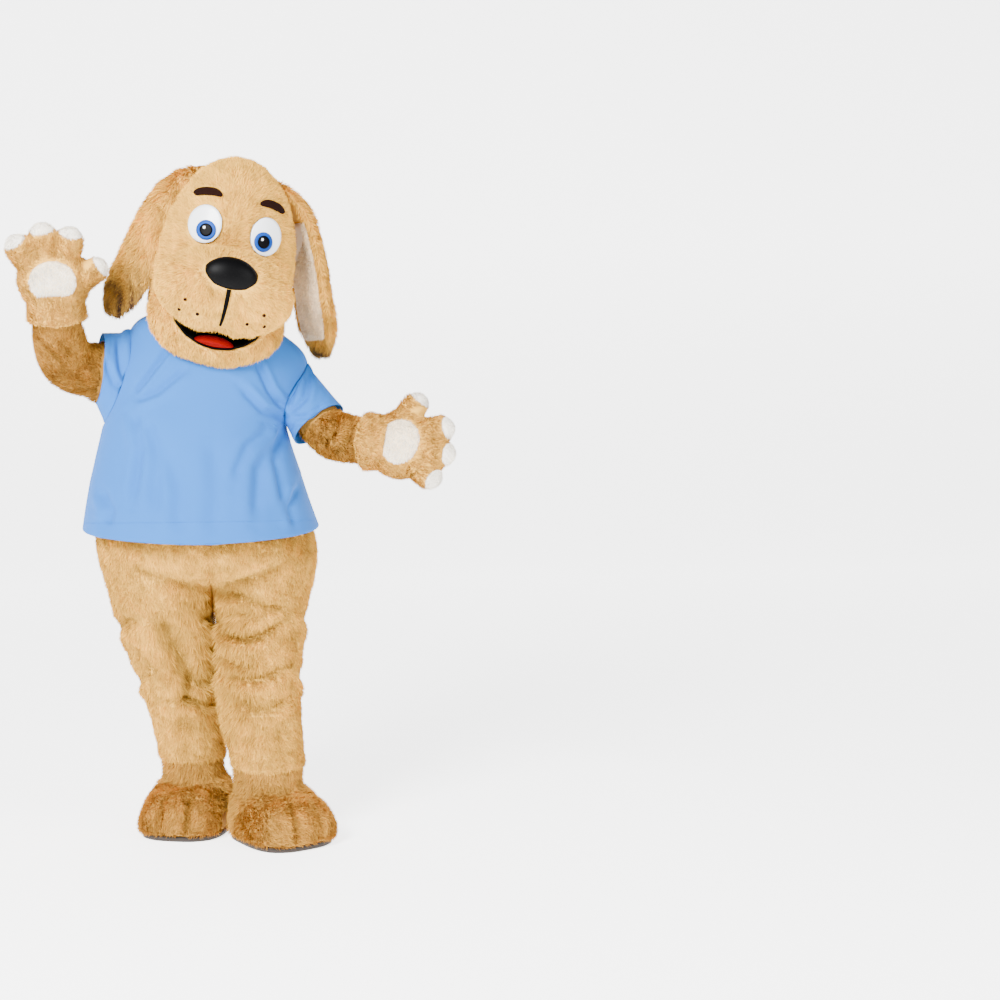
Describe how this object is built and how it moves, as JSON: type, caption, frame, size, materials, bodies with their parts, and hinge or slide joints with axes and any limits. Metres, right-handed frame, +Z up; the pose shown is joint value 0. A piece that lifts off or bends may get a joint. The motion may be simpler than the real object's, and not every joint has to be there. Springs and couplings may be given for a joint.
{
  "type": "plush dog mascot costume",
  "caption": "Full-body plush dog costume worn by an adult: big round head with long hanging ears, short-sleeved blue tee, raised padded mitt, large padded three-toed feet and a short tail.",
  "frame": {"origin": "the middle of the wearer's shoulder line, 1.42 m above the floor", "axes": "+Z up, the costume faces -Y, its own right side is at -X"},
  "size_m": [1.2047, 0.6938, 1.9177],
  "materials": {
    "fur_tan": "short plush pile, combed down",
    "fur_deep": "short plush pile, a deeper ochre",
    "fur_cream": "smooth short-pile plush",
    "fur_white": "smooth short-pile plush",
    "tee_blue": "plain woven cotton, matte",
    "nose_black": "padded black satin, soft sheen",
    "mouth_black": "matte felt and cord",
    "tongue_red": "padded red fabric",
    "eye_white": "smooth domed plastic, satin",
    "iris_blue": "smooth plastic, satin",
    "pupil_black": "smooth plastic, glossy",
    "brow_brown": "dark brown felt, matte",
    "sole_dark": "dark rubber sheet, matte"
  },
  "bodies": {
    "root": {"arm_left": "fur_deep", "arm_right": "fur_deep", "body_back_left": "fur_tan", "body_back_right": "fur_tan", "body_front_left": "fur_tan", "body_front_right": "fur_tan", "brow_left": "brow_brown", "brow_right": "brow_brown", "ear_left": "fur_tan", "ear_lining_left": "fur_cream", "ear_lining_right": "fur_cream", "ear_right": "fur_tan", "eye_white_left": "eye_white", "eye_white_right": "eye_white", "finger_cap_inner_left": "fur_white", "finger_cap_inner_right": "fur_white", "finger_cap_middle_left": "fur_white", "finger_cap_middle_right": "fur_white", "finger_cap_outer_left": "fur_white", "finger_cap_outer_right": "fur_white", "finger_cap_thumb_left": "fur_white", "finger_cap_thumb_right": "fur_white", "head_back_left": "fur_tan", "head_back_right": "fur_tan", "head_front": "fur_tan", "iris_left": "iris_blue", "iris_right": "iris_blue", "jaw": "fur_tan", "mitt_left": "fur_tan", "mitt_right": "fur_tan", "mouth_lining": "mouth_black", "muzzle": "fur_tan", "muzzle_line": "mouth_black", "nose": "nose_black", "palm_pad_left": "fur_cream", "palm_pad_right": "fur_cream", "pupil_left": "pupil_black", "pupil_right": "pupil_black", "shoe_left": "fur_deep", "shoe_right": "fur_deep", "shoe_sole_left": "sole_dark", "shoe_sole_right": "sole_dark", "tail": "fur_tan", "tee_back_left": "tee_blue", "tee_back_right": "tee_blue", "tee_front": "tee_blue", "tee_sleeve_left": "tee_blue", "tee_sleeve_right": "tee_blue", "tongue": "tongue_red", "whisker_dot_1": "brow_brown", "whisker_dot_2": "brow_brown", "whisker_dot_3": "brow_brown", "whisker_dot_4": "brow_brown", "whisker_dot_5": "brow_brown", "whisker_dot_6": "brow_brown"}
  },
  "joints": []
}
